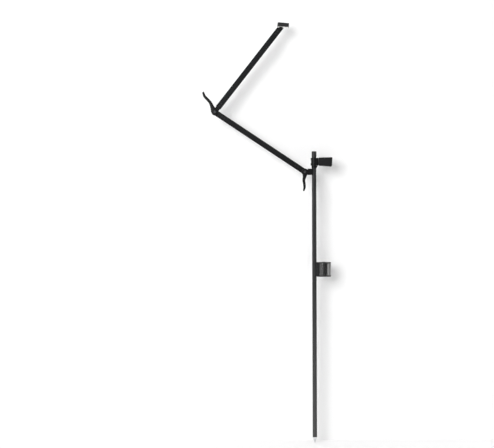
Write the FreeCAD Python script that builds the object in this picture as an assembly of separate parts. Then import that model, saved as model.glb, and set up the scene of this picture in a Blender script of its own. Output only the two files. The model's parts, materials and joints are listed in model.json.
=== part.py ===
import FreeCAD, Part
import math
import os

# Pole-mounted picture light with a two-part jointed arm, in millimetres.
# X runs across the arm's plane, Y is the hinge direction (front is -Y), Z is up.
# The origin is the centre of the pole's lower end, where the spike's collar meets it.

# ---- driving dimensions: pole -------------------------------------------------
POLE_R = 8.0
POLE_WALL = 1.5
POLE_SPLIT_Z = 560.0
POLE_TOP_Z = 1024.0
JOINER_HALF = 30.0
CAP_R = 8.8
CAP_BOTTOM_Z = 1008.5
CAP_TOP_Z = 1028.5
CAP_ROUNDING = 2.0
CAP_GROOVE_Z = (1015.5, 1016.7)
CAP_GROOVE_DEPTH = 0.35
SPIKE_R = 7.4
SPIKE_LENGTH = 21.0
SPIKE_TIP_R = 0.6
SPIKE_COLLAR_T = 2.5
SPIKE_SHANK_R = 3.0
SPIKE_SHANK_LENGTH = 25.0
PLUG_LENGTH = 30.0
SEAM_CHAMFER = 0.5
JOINER_WALL = 1.5
JOINER_TOP_CUT = 12.0
RIBBON_T = 1.4
RIBBON_WIDTH = 5.2
SPACER_HEIGHTS = (640.0, 780.0, 920.0, 990.0)
SPACER_T = 4.0

# ---- driving dimensions: arms and their hinges --------------------------------
SHOULDER_X = -33.7
SHOULDER_Z = 954.7
LOWER_ARM_LENGTH = 388.7
UPPER_ARM_LENGTH = 397.0
LOWER_ARM_ANGLE = 146.25
UPPER_ARM_ANGLE = 51.9
ARM_WIDTH = 20.0
ARM_DEPTH = 11.2
ARM_WALL = 1.2
ARM_CORNER = 2.0
ARM_INNER_CORNER = 1.2
HUB_R = 12.0
FORK_SLOT_DEPTH = 19.0
FORK_BLOCK = 24.0
TONGUE_T = 4.0
TONGUE_WIDTH = 16.5
TONGUE_REACH = 19.6
END_PLATE = 2.0
SPIGOT_LENGTH = 24.0
RIVET_R = 1.6
RIVET_HEAD_R = 2.9
RIVET_HEAD_T = 0.9
RIVET_STEPS = (7.0, 17.0)
HINGE_BOLT_R = 3.0
BOLT_HEAD_R = 4.4
BOLT_HEAD_T = 2.2
BOLT_KEY_FLATS = 3.0
BOLT_PROUD = 1.5
RUN_GAP = 0.05
THRUST_GAP = 0.1
FRICTION_WASHER_T = 0.5
FRICTION_WASHER_R = 9.0
NUT_FLATS = 10.0
NUT_T = 5.0
NUT_WASHER_T = 0.8
NUT_WASHER_R = 7.0
SPIGOT_SLOT = (2.0, 6.0)
UPPER_FAR = 22.0

# ---- driving dimensions: shoulder bracket and cross screws --------------------
BRACKET_FACE_X = -23.3
BRACKET_HALF_HEIGHT = 11.0
BRACKET_HALF_DEPTH = 8.0
BRACKET_NECK_HALF = 4.5
BRACKET_CORNER = 1.0
BRACKET_RELIEF_R = 12.4
BRACKET_SCREW_LENGTH = 19.9
BRACKET_SCREW_STEP = 7.3
SCREW_R = 1.5
SCREW_HEAD_R = 2.6
SCREW_HEAD_T = 2.8
SCREW_SOCKET_R = 1.2
WIRE_HOLE_R = 2.0

# ---- driving dimensions: clamping levers --------------------------------------
SHOULDER_LEVER_LENGTH = 70.0
SHOULDER_LEVER_ANGLE = 266.5
ELBOW_LEVER_LENGTH = 84.0
ELBOW_LEVER_ANGLE = 120.0
LEVER_BOSS_R = 11.5
LEVER_BOSS_T = 7.2
LEVER_BLADE_T = 4.6
LEVER_BLADE_SET = 2.5
# Stations along each lever: share of its length, sideways sway, half width.
SHOULDER_LEVER_STATIONS = ((0.08, 1.6, 10.2), (0.24, 0.2, 6.9), (0.44, -1.9, 5.2),
                           (0.60, 0.4, 5.0), (0.80, 2.3, 4.4), (0.96, 0.2, 3.4))
ELBOW_LEVER_STATIONS = ((0.08, 0.8, 11.2), (0.24, -1.0, 7.3), (0.44, -2.9, 5.5),
                        (0.60, -0.5, 5.4), (0.80, 3.1, 4.9), (0.96, 1.0, 3.8))

# ---- driving dimensions: picture head -----------------------------------------
HEAD_LENGTH = 41.0
HEAD_DEPTH = 36.0
HEAD_HEIGHT = 14.2
HEAD_TILT = -5.5
HEAD_PIVOT_OFFSET = -2.1
HEAD_WALL = 1.4
HEAD_TONGUE_R = 4.8
HEAD_GAP = 3.4
HEAD_PIN_R = 1.5
HEAD_SLOT = 5.2
HEAD_LUG_T = 3.0
DIFFUSER_T = 2.4
HEAD_BOARD_X = (7.6, 20.8)
HEAD_SCREW_X = 14.2
HEAD_SCREW_INSET = 5.0
HEAD_SCREW_R = 1.0
HEAD_CORNER = 4.0
HEAD_NOTCH_X = 6.6
HEAD_BOARD_HALF_Y = 15.0
HEAD_FIN_STEPS = (0.0, 3.0, 6.0, 9.0, 12.0)
HEAD_FIN_T = 1.2
HEAD_BOARD_Z = (0.6, 1.8)
HEAD_CHIP_HALF = 1.4
HEAD_CHIP_T = 0.8
HEAD_CHIP_PITCH = (8.0, 7.0)
HEAD_LUG_HALF = 4.5
HEAD_SCREW_HEAD_R = 1.9
HEAD_SCREW_HEAD_T = 0.8

# ---- driving dimensions: pole-top flood ---------------------------------------
FLOOD_Z = 991.1
COLLAR_R = 12.2
COLLAR_WAIST_R = 11.0
COLLAR_HEIGHT = 27.0
COLLAR_BLOCK_X = 14.2
COLLAR_BLOCK_HALF = 12.0
HOOD_START_X = 16.4
HOOD_END_X = 65.0
HOOD_SLANT = 2.0
HOOD_NEAR = (44.0, 28.4)
HOOD_FAR = (50.0, 33.4)
HOOD_FAR_DROP = 1.5
HOOD_WALL = 1.6
HOOD_BACK = 3.0
HOOD_CORNER = 2.2
HOOD_MOUTH_CORNER = 3.2
STOP_RING_R = 9.3
STOP_RING_Z = (967.8, 977.1)
STOP_LUG_X = 13.5
FLOOD_WASHER_R = 12.5
FLOOD_BOLT_START_X = 9.6
FLOOD_BOLT_HEAD_R = 5.2
FLOOD_BOLT_HEAD_T = 3.2
FLOOD_BOLT_SOCKET_R = 1.6
FLOOD_CHIP_HALF = 1.6
FLOOD_CHIP_T = 1.0
FLOOD_CHIP_PITCH = 8.0
FLOOD_CHIP_ROWS = (-5.5, 4.5)
FLOOD_SINK_X = (25.0, 34.0)
FLOOD_BOARD_X = (34.0, 35.6)
FLOOD_TRAY_X = (35.6, 50.0)
FLOOD_LENS_X = (50.0, 52.5)
FIN_PITCH = 4.0
FIN_GAP = 2.4

# ---- driving dimensions: driver canister --------------------------------------
CAN_R = 25.8
CAN_WALL = 2.0
CAN_X = 34.0
CAN_Z = (577.2, 629.6)
CAN_CAP = 4.5
SADDLE_INSET = 0.8
SADDLE_NECK_HALF = 7.5
CRADLE_HALF = 18.0
CRADLE_CHAMFER = 3.0
CAN_SCREW_STEP = 7.2
CELL_R = 8.2
CELL_LENGTH = 34.0
CELL_RING_R = 11.5
HOLDER_R = 22.2
HOLDER_T = 11.0
BOARD_R = 21.5
BOARD_T = 1.6
SWITCH_T = 2.4
BUTTON_R = 5.0
BUTTON_PROUD = 1.2
BUTTON_FLANGE = 1.6
SOCKET_HALF = (4.4, 1.6)
SOCKET_WALL = 0.35
SADDLE_END_X = 16.0

BIG = 200.0


# ---- small building blocks ----------------------------------------------------
def vec(x, y, z):
    return FreeCAD.Vector(x, y, z)


def box(x, y, z):
    """Box between two limits on each axis."""
    block = Part.makeBox(x[1] - x[0], y[1] - y[0], z[1] - z[0])
    block.translate(vec(x[0], y[0], z[0]))
    return block


def rod_y(radius, y, x=0.0, z=0.0):
    return Part.makeCylinder(radius, y[1] - y[0], vec(x, y[0], z), vec(0, 1, 0))


def rod_z(radius, z, x=0.0, y=0.0):
    return Part.makeCylinder(radius, z[1] - z[0], vec(x, y, z[0]), vec(0, 0, 1))


def rod_x(radius, x, y=0.0, z=0.0):
    return Part.makeCylinder(radius, x[1] - x[0], vec(x[0], y, z), vec(1, 0, 0))


def tube_z(outer, inner, z, x=0.0, y=0.0):
    return rod_z(outer, z, x, y).cut(rod_z(inner, z, x, y))


def hexagon_y(flats, y):
    """Hexagonal prism along Y on the hinge axis."""
    corner = flats / math.sqrt(3.0)
    points = [vec(corner * math.cos(math.radians(60 * k)), y[0],
                  corner * math.sin(math.radians(60 * k))) for k in range(7)]
    return Part.Face(Part.makePolygon(points)).extrude(vec(0, y[1] - y[0], 0))


def bar(x, depth, width, corner):
    """Rounded bar along X: depth across Y, width across Z."""
    block = box(x, (-depth / 2, depth / 2), (-width / 2, width / 2))
    edges = [e for e in block.Edges if abs(e.tangentAt(e.FirstParameter).x) > 0.99]
    return block.makeFillet(corner, edges)


def placed(shape, x, z, angle):
    """Turn a shape from its own +X to an angle above +X, and set it on a hinge."""
    result = shape.copy()
    turn = FreeCAD.Rotation(vec(0, -1, 0), angle)
    result.Placement = FreeCAD.Placement(vec(x, 0, z), turn).multiply(result.Placement)
    return result


def fused(shapes):
    whole = shapes[0]
    for shape in shapes[1:]:
        whole = whole.fuse(shape)
    return whole.removeSplitter()


def group(shapes):
    return shapes[0] if len(shapes) == 1 else Part.makeCompound(shapes)


# ---- derived places -----------------------------------------------------------
def along(x, z, length, angle):
    a = math.radians(angle)
    return x + length * math.cos(a), z + length * math.sin(a)


ELBOW_X, ELBOW_Z = along(SHOULDER_X, SHOULDER_Z, LOWER_ARM_LENGTH, LOWER_ARM_ANGLE)
PIVOT_X, PIVOT_Z = along(ELBOW_X, ELBOW_Z, UPPER_ARM_LENGTH, UPPER_ARM_ANGLE)
POLE_BORE = POLE_R - POLE_WALL
ARM_BORE_DEPTH = ARM_DEPTH - 2 * ARM_WALL
ARM_BORE_WIDTH = ARM_WIDTH - 2 * ARM_WALL
CHEEK_IN = TONGUE_T / 2 + FRICTION_WASHER_T + THRUST_GAP
CHEEK_OUT = ARM_DEPTH / 2
LEVER_BACK = CHEEK_OUT + THRUST_GAP
LEVER_FRONT = LEVER_BACK + LEVER_BOSS_T
FLOOD_LOW = FLOOD_Z - COLLAR_HEIGHT / 2
FLOOD_HIGH = FLOOD_Z + COLLAR_HEIGHT / 2
HEAD_CUT = HEAD_HEIGHT / 2 + HEAD_GAP
HEAD_LEFT = -HEAD_LENGTH / 2 - HEAD_PIVOT_OFFSET
HEAD_RIGHT = HEAD_LENGTH / 2 - HEAD_PIVOT_OFFSET
HEAD_HALF_Y = HEAD_DEPTH / 2
HEAD_HALF_Z = HEAD_HEIGHT / 2
HEAD_SCREW_Y = (-HEAD_HALF_Y + HEAD_SCREW_INSET, HEAD_HALF_Y - HEAD_SCREW_INSET)
CAN_MID_Z = (CAN_Z[0] + CAN_Z[1]) / 2
SADDLE_Z = (CAN_Z[0] + SADDLE_INSET, CAN_Z[1] - SADDLE_INSET)
CAN_SCREW_Z = (CAN_MID_Z - CAN_SCREW_STEP, CAN_MID_Z + CAN_SCREW_STEP)
CAN_BORE = CAN_R - CAN_WALL
CELL_LOW = CAN_Z[0] + CAN_CAP
BOARD_LOW = CELL_LOW + CELL_LENGTH + 1.2
BRACKET_SCREW_Z = (SHOULDER_Z - BRACKET_SCREW_STEP, SHOULDER_Z + BRACKET_SCREW_STEP)
UPPER_NEAR = TONGUE_REACH + END_PLATE


def arm_end_rivet_places(length, near_start, far_start):
    near = [near_start + step for step in RIVET_STEPS]
    far = [length - far_start - step for step in RIVET_STEPS]
    return near + far


LOWER_RIVETS = arm_end_rivet_places(LOWER_ARM_LENGTH, FORK_BLOCK, FORK_BLOCK)
UPPER_RIVETS = arm_end_rivet_places(UPPER_ARM_LENGTH, UPPER_NEAR, UPPER_FAR)


# ---- pole ---------------------------------------------------------------------
def seam_end(tube):
    """Break the outer edge where the two pole sections meet."""
    rim = [e for e in tube.Edges if abs(e.BoundBox.ZMin - POLE_SPLIT_Z) < 0.01
           and abs(e.BoundBox.ZMax - POLE_SPLIT_Z) < 0.01 and e.BoundBox.XMax > POLE_R - 0.01]
    return tube.makeChamfer(SEAM_CHAMFER, rim)


def pole_lower_tube():
    return seam_end(tube_z(POLE_R, POLE_BORE, (0.0, POLE_SPLIT_Z)))


def pole_upper_tube():
    tube = seam_end(tube_z(POLE_R, POLE_BORE, (POLE_SPLIT_Z, POLE_TOP_Z)))
    right = (2.0, POLE_R + 1.5)
    left = (-POLE_R - 1.5, -2.0)
    for z in CAN_SCREW_Z:
        tube = tube.cut(rod_x(SCREW_R, right, z=z))
    for z in BRACKET_SCREW_Z:
        tube = tube.cut(rod_x(SCREW_R, left, z=z))
    tube = tube.cut(rod_x(WIRE_HOLE_R, right, z=CAN_MID_Z))
    return tube.cut(rod_x(WIRE_HOLE_R, left, z=SHOULDER_Z))


def pole_joiner():
    span = (POLE_SPLIT_Z - JOINER_HALF, POLE_SPLIT_Z + JOINER_HALF - JOINER_TOP_CUT)
    return tube_z(POLE_BORE, POLE_BORE - JOINER_WALL, span)


def pole_top_cap():
    cap = rod_z(CAP_R, (CAP_BOTTOM_Z, CAP_TOP_Z))
    rim = [e for e in cap.Edges if abs(e.BoundBox.ZMin - CAP_TOP_Z) < 0.01 and e.BoundBox.ZLength < 0.01]
    cap = cap.makeFillet(CAP_ROUNDING, rim)
    cap = cap.cut(rod_z(POLE_R, (CAP_BOTTOM_Z, POLE_TOP_Z)))
    groove = tube_z(CAP_R + 1.0, CAP_R - CAP_GROOVE_DEPTH, CAP_GROOVE_Z)
    return cap.cut(groove)


def foot_plug():
    return tube_z(POLE_BORE, SPIKE_SHANK_R, (0.0, PLUG_LENGTH))


def foot_spike():
    collar = rod_z(SPIKE_R, (-SPIKE_COLLAR_T, 0.0))
    point = Part.makeCone(SPIKE_TIP_R, SPIKE_R, SPIKE_LENGTH - SPIKE_COLLAR_T,
                          vec(0, 0, -SPIKE_LENGTH), vec(0, 0, 1))
    shank = rod_z(SPIKE_SHANK_R, (0.0, SPIKE_SHANK_LENGTH))
    return fused([collar, point, shank])


def ribbon_section(z):
    """The pole's flat two-core ribbon between two heights."""
    return box((-RIBBON_WIDTH / 2, RIBBON_WIDTH / 2), (-RIBBON_T / 2, RIBBON_T / 2), z)


def pole_conductor():
    return ribbon_section((CAN_MID_Z - 6.0, SHOULDER_Z + 40.0))


def conductor_spacers():
    discs = []
    for z in SPACER_HEIGHTS:
        disc = rod_z(POLE_BORE, (z, z + SPACER_T))
        discs.append(disc.cut(ribbon_section((z - 1.0, z + SPACER_T + 1.0))))
    return group(discs)


# ---- shoulder bracket on the pole ---------------------------------------------
def shoulder_bracket():
    """Block against the pole, hollowed to clear the hinge, with the hinge's fixed tongue."""
    saddle = box((BRACKET_FACE_X, -2.5), (-BRACKET_HALF_DEPTH, BRACKET_HALF_DEPTH),
                 (-BRACKET_HALF_HEIGHT, BRACKET_HALF_HEIGHT))
    upright = [e for e in saddle.Edges if abs(e.tangentAt(e.FirstParameter).y) > 0.99]
    near = [e for e in upright if e.BoundBox.XMin < BRACKET_FACE_X + 0.01]
    saddle = saddle.makeFillet(BRACKET_CORNER, near)
    saddle.translate(vec(0, 0, SHOULDER_Z))
    saddle = saddle.cut(rod_z(POLE_R, (SHOULDER_Z - 20.0, SHOULDER_Z + 20.0)))
    saddle = saddle.cut(rod_y(BRACKET_RELIEF_R, (-BIG, BIG), SHOULDER_X, SHOULDER_Z))
    half = TONGUE_T / 2
    neck = box((SHOULDER_X, SHOULDER_X + BRACKET_RELIEF_R + 1.0), (-half, half),
               (SHOULDER_Z - BRACKET_NECK_HALF, SHOULDER_Z + BRACKET_NECK_HALF))
    hub = rod_y(HUB_R, (-half, half), SHOULDER_X, SHOULDER_Z)
    bracket = fused([saddle, neck, hub])
    bracket = bracket.cut(rod_y(HINGE_BOLT_R, (-BIG, BIG), SHOULDER_X, SHOULDER_Z))
    for z in BRACKET_SCREW_Z:
        bracket = bracket.cut(rod_x(SCREW_R, (-30.0, 0.0), z=z))
        bracket = bracket.cut(rod_x(SCREW_HEAD_R + 0.1, (-30.0, BRACKET_FACE_X + 3.0), z=z))
    return bracket


def socket_screw_x(x, z, length, direction):
    """Cap screw along X: the head's face is at x, the shank runs the other way."""
    head = rod_x(SCREW_HEAD_R, (0.0, SCREW_HEAD_T))
    socket = rod_x(SCREW_SOCKET_R, (-1.0, 1.6))
    shank = rod_x(SCREW_R, (SCREW_HEAD_T, length))
    screw = fused([head, shank]).cut(socket)
    if direction < 0:
        screw.rotate(vec(0, 0, 0), vec(0, 0, 1), 180)
    screw.translate(vec(x, 0, z))
    return screw


def shoulder_bracket_screws():
    return group([socket_screw_x(BRACKET_FACE_X + 0.2, z, BRACKET_SCREW_LENGTH, 1) for z in BRACKET_SCREW_Z])


def shoulder_nut_plate():
    plate = rod_z(POLE_BORE, (SHOULDER_Z - 11.0, SHOULDER_Z + 11.0))
    plate = plate.common(box((-7.0, -3.2), (-4.0, 4.0), (SHOULDER_Z - 12.0, SHOULDER_Z + 12.0)))
    for z in BRACKET_SCREW_Z:
        plate = plate.cut(rod_x(SCREW_R, (-9.0, 0.0), z=z))
    return plate.cut(rod_x(WIRE_HOLE_R, (-9.0, 0.0), z=SHOULDER_Z))


# ---- hinge hardware, shared by shoulder and elbow -----------------------------
def hinge_bolt():
    seat = -LEVER_FRONT - THRUST_GAP
    face = seat - BOLT_HEAD_T
    head = rod_y(BOLT_HEAD_R, (face, seat))
    head = head.makeFillet(0.8, [e for e in head.Edges if e.BoundBox.YMax < face + 0.1])
    shank = rod_y(HINGE_BOLT_R, (seat - 0.9, CHEEK_OUT + NUT_WASHER_T + NUT_T + BOLT_PROUD))
    socket = hexagon_y(BOLT_KEY_FLATS, (face - 0.7, seat - 0.9))
    return fused([head, shank]).cut(socket)


def hinge_nut(gap):
    start = CHEEK_OUT + gap
    washer = rod_y(NUT_WASHER_R, (start, start + NUT_WASHER_T))
    nut = hexagon_y(NUT_FLATS, (start + NUT_WASHER_T, start + NUT_WASHER_T + NUT_T - gap))
    return fused([washer, nut]).cut(rod_y(HINGE_BOLT_R, (0.0, BIG)))


def friction_washers(start, bore):
    """Two washers, one each side of the tongue, from a distance off its middle."""
    pair = []
    for side in (-1, 1):
        near = side * start
        far = side * (start + FRICTION_WASHER_T)
        span = (min(near, far), max(near, far))
        pair.append(rod_y(FRICTION_WASHER_R, span).cut(rod_y(bore, span)))
    return group(pair)


# ---- clamping levers ----------------------------------------------------------
def lever_blade(length, stations):
    """S-shaped blade in its own frame: hub at the origin, tip along +X."""
    upper = [vec(t * length, 0, sway + half) for t, sway, half in stations]
    lower = [vec(t * length, 0, sway - half) for t, sway, half in stations]
    sides = []
    for points in (upper, lower[::-1]):
        curve = Part.BSplineCurve()
        curve.interpolate(points)
        sides.append(curve.toShape())
    tip = Part.Arc(upper[-1], vec(length, 0, 0), lower[-1]).toShape()
    root = Part.LineSegment(lower[0], upper[0]).toShape()
    face = Part.Face(Part.Wire([sides[0], tip, sides[1], root]))
    return face.extrude(vec(0, LEVER_BLADE_T, 0))


def lever(length, stations):
    back = -LEVER_BACK
    blade = lever_blade(length, stations)
    blade.translate(vec(0, back - LEVER_BLADE_SET - LEVER_BLADE_T, 0))
    boss = rod_y(LEVER_BOSS_R, (-LEVER_FRONT, back))
    rim = [e for e in boss.Edges if e.BoundBox.YMax < -LEVER_FRONT + 0.01]
    boss = boss.makeFillet(1.2, rim)
    whole = blade.fuse(boss)
    return whole.cut(rod_y(HINGE_BOLT_R + RUN_GAP, (-BIG, BIG)))


# ---- arm pieces, each in its own frame along +X -------------------------------
def arm_tube(start, end, rivet_places):
    outer = bar((start, end), ARM_DEPTH, ARM_WIDTH, ARM_CORNER)
    inner = bar((start - 1.0, end + 1.0), ARM_BORE_DEPTH, ARM_BORE_WIDTH, ARM_INNER_CORNER)
    tube = outer.cut(inner)
    for x in rivet_places:
        tube = tube.cut(rod_y(RIVET_R, (-BIG, BIG), x))
    return tube


def ribbon_slot(start, end):
    half_y, half_z = (side / 2 for side in SPIGOT_SLOT)
    return box((start, end), (-half_y, half_y), (-half_z, half_z))


def arm_ribbon(start, end, rivet_places):
    """Flat ribbon along an arm, punched where the rivets pass."""
    ribbon = box((start, end), (-RIBBON_T / 2, RIBBON_T / 2), (-RIBBON_WIDTH / 2, RIBBON_WIDTH / 2))
    for x in rivet_places:
        ribbon = ribbon.cut(rod_y(RIVET_R + 0.3, (-BIG, BIG), x))
    return ribbon


def spigot(start, length):
    plug = bar((start, start + length), ARM_BORE_DEPTH, ARM_BORE_WIDTH, ARM_INNER_CORNER)
    return plug.cut(ribbon_slot(start, start + length + 1.0))


def fork(bolt_bore):
    """Fork end fitting: hinge at the origin, spigot away along +X."""
    block = bar((0.0, FORK_BLOCK), ARM_DEPTH, ARM_WIDTH, ARM_CORNER)
    hub = rod_y(HUB_R, (-CHEEK_OUT, CHEEK_OUT))
    rims = [e for e in hub.Edges if e.BoundBox.YLength < 0.01]
    hub = hub.makeChamfer(0.6, rims)
    whole = fused([hub, block, spigot(FORK_BLOCK, SPIGOT_LENGTH)])
    whole = whole.cut(box((-BIG, FORK_SLOT_DEPTH), (-CHEEK_IN, CHEEK_IN), (-BIG, BIG)))
    whole = whole.cut(rod_y(bolt_bore, (-BIG, BIG)))
    for step in RIVET_STEPS:
        whole = whole.cut(rod_y(RIVET_R, (-BIG, BIG), FORK_BLOCK + step))
    return whole


def tongue_fitting():
    """Tongue end fitting: hinge at the origin, spigot away along +X."""
    half = TONGUE_T / 2
    hub = rod_y(HUB_R, (-half, half))
    neck = box((0.0, TONGUE_REACH + 1.0), (-half, half), (-TONGUE_WIDTH / 2, TONGUE_WIDTH / 2))
    plate_end = TONGUE_REACH + END_PLATE
    plate = bar((TONGUE_REACH, plate_end), ARM_DEPTH, ARM_WIDTH, ARM_CORNER)
    whole = fused([hub, neck, plate, spigot(plate_end, SPIGOT_LENGTH)])
    whole = whole.cut(rod_y(HINGE_BOLT_R + RUN_GAP, (-BIG, BIG)))
    for step in RIVET_STEPS:
        whole = whole.cut(rod_y(RIVET_R, (-BIG, BIG), plate_end + step))
    return whole


def rivets(places):
    """Cross rivets with low domed heads on both faces of an arm."""
    pieces = []
    reach = ARM_DEPTH / 2
    for x in places:
        shank = rod_y(RIVET_R, (-reach, reach), x)
        heads = [rod_y(RIVET_HEAD_R, span, x) for span in
                 ((-reach - RIVET_HEAD_T, -reach), (reach, reach + RIVET_HEAD_T))]
        rivet = fused([shank] + heads)
        rims = [e for e in rivet.Edges if abs(abs(e.BoundBox.YMin) - reach - RIVET_HEAD_T) < 0.01
                and e.BoundBox.YLength < 0.01]
        pieces.append(rivet.makeFillet(0.6, rims))
    return group(pieces)


def head_plane_cut():
    """Half space above the slanted end of the upper arm, in the head pivot's place."""
    cutter = box((-BIG, BIG), (-BIG, BIG), (-HEAD_CUT, BIG))
    return placed(cutter, PIVOT_X, PIVOT_Z, HEAD_TILT)


def on_lower_arm(shape):
    return placed(shape, SHOULDER_X, SHOULDER_Z, LOWER_ARM_ANGLE)


def on_upper_arm(shape):
    return placed(shape, ELBOW_X, ELBOW_Z, UPPER_ARM_ANGLE)


def lower_arm_tube():
    return on_lower_arm(arm_tube(FORK_BLOCK, LOWER_ARM_LENGTH - FORK_BLOCK, LOWER_RIVETS))


def lower_arm_shoulder_fork():
    return on_lower_arm(fork(HINGE_BOLT_R + RUN_GAP))


def lower_arm_elbow_fork():
    return placed(fork(HINGE_BOLT_R), ELBOW_X, ELBOW_Z, LOWER_ARM_ANGLE + 180.0)


def lower_arm_conductor():
    start = FORK_BLOCK + 4.0
    return on_lower_arm(arm_ribbon(start, LOWER_ARM_LENGTH - start, LOWER_RIVETS))


def upper_arm_tube():
    tube = on_upper_arm(arm_tube(UPPER_NEAR, UPPER_ARM_LENGTH + 5.0, UPPER_RIVETS))
    return tube.cut(head_plane_cut())


def upper_arm_elbow_tongue():
    return on_upper_arm(tongue_fitting())


def upper_arm_head_end():
    """Plug in the arm's slanted top end, with the small tongue that the head tilts on."""
    half = TONGUE_T / 2
    plug = bar((UPPER_ARM_LENGTH - UPPER_FAR - SPIGOT_LENGTH, UPPER_ARM_LENGTH + 5.0),
               ARM_BORE_DEPTH, ARM_BORE_WIDTH, ARM_INNER_CORNER)
    plug = plug.cut(ribbon_slot(0.0, UPPER_ARM_LENGTH - UPPER_FAR - 3.0))
    plug = on_upper_arm(plug).cut(head_plane_cut())
    neck = box((UPPER_ARM_LENGTH - UPPER_FAR - 2.0, UPPER_ARM_LENGTH), (-half, half),
               (-HEAD_TONGUE_R, HEAD_TONGUE_R))
    hub = rod_y(HEAD_TONGUE_R, (-half, half), UPPER_ARM_LENGTH)
    whole = fused([plug, on_upper_arm(neck), on_upper_arm(hub)])
    whole = whole.cut(on_upper_arm(rod_y(HEAD_PIN_R + RUN_GAP, (-BIG, BIG), UPPER_ARM_LENGTH)))
    for step in RIVET_STEPS:
        hole = rod_y(RIVET_R, (-BIG, BIG), UPPER_ARM_LENGTH - UPPER_FAR - step)
        whole = whole.cut(on_upper_arm(hole))
    return whole


def upper_arm_conductor():
    start = UPPER_NEAR + 4.0
    end = UPPER_ARM_LENGTH - UPPER_FAR - 4.0
    return on_upper_arm(arm_ribbon(start, end, UPPER_RIVETS))


# ---- picture head, in a frame on its tilt pivot -------------------------------
def on_head(shape):
    return placed(shape, PIVOT_X, PIVOT_Z, HEAD_TILT)


def tongue_notch(low, high):
    """Room for the arm's small tongue through the head's underside and near end."""
    half = HEAD_SLOT / 2
    return box((HEAD_LEFT - 5.0, HEAD_NOTCH_X), (-half, half), (low, high))


def head_housing():
    shell = box((HEAD_LEFT, HEAD_RIGHT), (-HEAD_HALF_Y, HEAD_HALF_Y), (-HEAD_HALF_Z, HEAD_HALF_Z))
    upright = [e for e in shell.Edges if abs(e.tangentAt(e.FirstParameter).z) > 0.99]
    shell = shell.makeFillet(HEAD_CORNER, upright)
    top = [e for e in shell.Edges if e.BoundBox.ZMin > HEAD_HALF_Z - 0.01]
    shell = shell.makeFillet(1.0, top)
    cavity = box((HEAD_LEFT + HEAD_WALL, HEAD_RIGHT - HEAD_WALL),
                 (-HEAD_HALF_Y + HEAD_WALL, HEAD_HALF_Y - HEAD_WALL),
                 (-BIG, HEAD_HALF_Z - HEAD_WALL))
    upright = [e for e in cavity.Edges if abs(e.tangentAt(e.FirstParameter).z) > 0.99]
    shell = shell.cut(cavity.makeFillet(HEAD_CORNER - HEAD_WALL, upright))
    lugs = []
    for side in (-1, 1):
        near = side * HEAD_SLOT / 2
        far = side * (HEAD_SLOT / 2 + HEAD_LUG_T)
        lugs.append(box((-HEAD_LUG_HALF, HEAD_LUG_HALF), (min(near, far), max(near, far)),
                        (-HEAD_HALF_Z + DIFFUSER_T, HEAD_HALF_Z - HEAD_WALL)))
    shell = fused([shell] + lugs)
    shell = shell.cut(rod_y(HEAD_PIN_R, (-HEAD_SLOT / 2 - HEAD_LUG_T, HEAD_SLOT / 2 + HEAD_LUG_T)))
    shell = shell.cut(tongue_notch(-BIG, HEAD_HALF_Z - HEAD_WALL))
    for y in HEAD_SCREW_Y:
        shell = shell.cut(rod_z(HEAD_SCREW_R, (0.0, BIG), HEAD_SCREW_X, y))
        seat = HEAD_HALF_Z - HEAD_SCREW_HEAD_T
        shell = shell.cut(rod_z(HEAD_SCREW_HEAD_R + 0.1, (seat, BIG), HEAD_SCREW_X, y))
    return on_head(shell)


def head_diffuser():
    inset = HEAD_WALL + 0.05
    plate = box((HEAD_LEFT + inset, HEAD_RIGHT - inset), (-HEAD_HALF_Y + inset, HEAD_HALF_Y - inset),
                (-HEAD_HALF_Z, -HEAD_HALF_Z + DIFFUSER_T))
    upright = [e for e in plate.Edges if abs(e.tangentAt(e.FirstParameter).z) > 0.99]
    plate = plate.makeFillet(2.5, upright)
    return on_head(plate.cut(tongue_notch(-BIG, BIG)))


def head_led_board():
    board = box(HEAD_BOARD_X, (-HEAD_BOARD_HALF_Y, HEAD_BOARD_HALF_Y), HEAD_BOARD_Z)
    face = HEAD_BOARD_Z[0]
    half = HEAD_CHIP_HALF
    chips = []
    for column in range(2):
        for row in range(4):
            x = HEAD_SCREW_X + HEAD_CHIP_PITCH[0] * (column - 0.5)
            y = HEAD_CHIP_PITCH[1] * (row - 1.5)
            chips.append(box((x - half, x + half), (y - half, y + half), (face - HEAD_CHIP_T, face)))
    board = fused([board] + chips)
    for y in HEAD_SCREW_Y:
        board = board.cut(rod_z(HEAD_SCREW_R, (-BIG, BIG), HEAD_SCREW_X, y))
    return on_head(board)


def head_heat_sink():
    low = HEAD_BOARD_Z[1]
    high = HEAD_HALF_Z - HEAD_WALL
    start = HEAD_BOARD_X[0]
    across = (-HEAD_BOARD_HALF_Y, HEAD_BOARD_HALF_Y)
    sink = box(HEAD_BOARD_X, across, (low, low + 1.2))
    fins = [box((start + step, start + step + HEAD_FIN_T), across, (low, high))
            for step in HEAD_FIN_STEPS]
    sink = fused([sink] + fins)
    for y in HEAD_SCREW_Y:
        sink = sink.cut(rod_z(HEAD_SCREW_R, (-BIG, BIG), HEAD_SCREW_X, y))
    return on_head(sink)


def head_hinge_pin():
    reach = HEAD_SLOT / 2 + HEAD_LUG_T
    return on_head(rod_y(HEAD_PIN_R, (-reach, reach)))


def head_screws():
    screws = []
    for y in HEAD_SCREW_Y:
        seat = HEAD_HALF_Z - HEAD_SCREW_HEAD_T
        head = rod_z(HEAD_SCREW_HEAD_R, (seat, HEAD_HALF_Z + 0.1), HEAD_SCREW_X, y)
        shank = rod_z(HEAD_SCREW_R, (HEAD_BOARD_Z[0] + 0.2, seat), HEAD_SCREW_X, y)
        screws.append(fused([head, shank]))
    return on_head(group(screws))


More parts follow.
